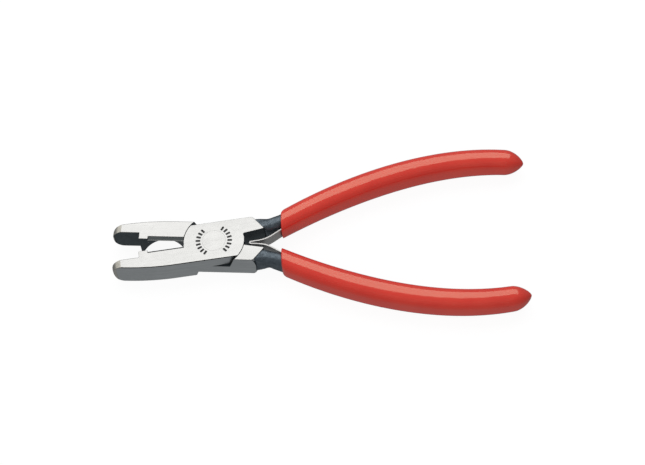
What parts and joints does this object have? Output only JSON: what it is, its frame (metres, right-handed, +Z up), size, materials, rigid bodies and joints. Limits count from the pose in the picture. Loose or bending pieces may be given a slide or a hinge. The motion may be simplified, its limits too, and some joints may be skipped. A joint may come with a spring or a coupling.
{
  "type": "crimping pliers",
  "caption": "Sprung lap-joint pliers with a flat crimping mouth at the nose, a wire cutter behind it and long bowed handles in smooth plastic sleeves.",
  "frame": {"origin": "centre of the joint rivet's lower face", "axes": "+X along the pliers from the jaws to the handles, +Y towards the upper jaw and the upper handle, +Z up through the joint, out of the face that holds the cutter blades"},
  "size_m": [0.155, 0.0692, 0.0104],
  "materials": {
    "tool_steel": "ground and polished faces, dark forged tangs",
    "rivet_steel": "ground flush with the joint",
    "sleeve_plastic": "dipped, smooth and glossy red",
    "spring_steel": "rolled spring strip"
  },
  "bodies": {
    "lower_jaw_side": {"lower_jaw_half": "tool_steel", "joint_rivet": "rivet_steel", "upper_handle_sleeve": "sleeve_plastic", "opening_spring": "spring_steel", "upper_spring_pin": "spring_steel"},
    "upper_jaw_side": {"upper_jaw_half": "tool_steel", "lower_handle_sleeve": "sleeve_plastic", "lower_spring_pin": "spring_steel"}
  },
  "joints": [
    {"name": "jaw_pivot", "type": "hinge", "parent": "lower_jaw_side", "child": "upper_jaw_side", "pos_m": [0, 0, 0.0048], "axis": [0, 0, 1], "range_deg": [-12, 11.1], "stiffness_Nm_per_rad": 4, "deforming": ["opening_spring"]}
  ]
}
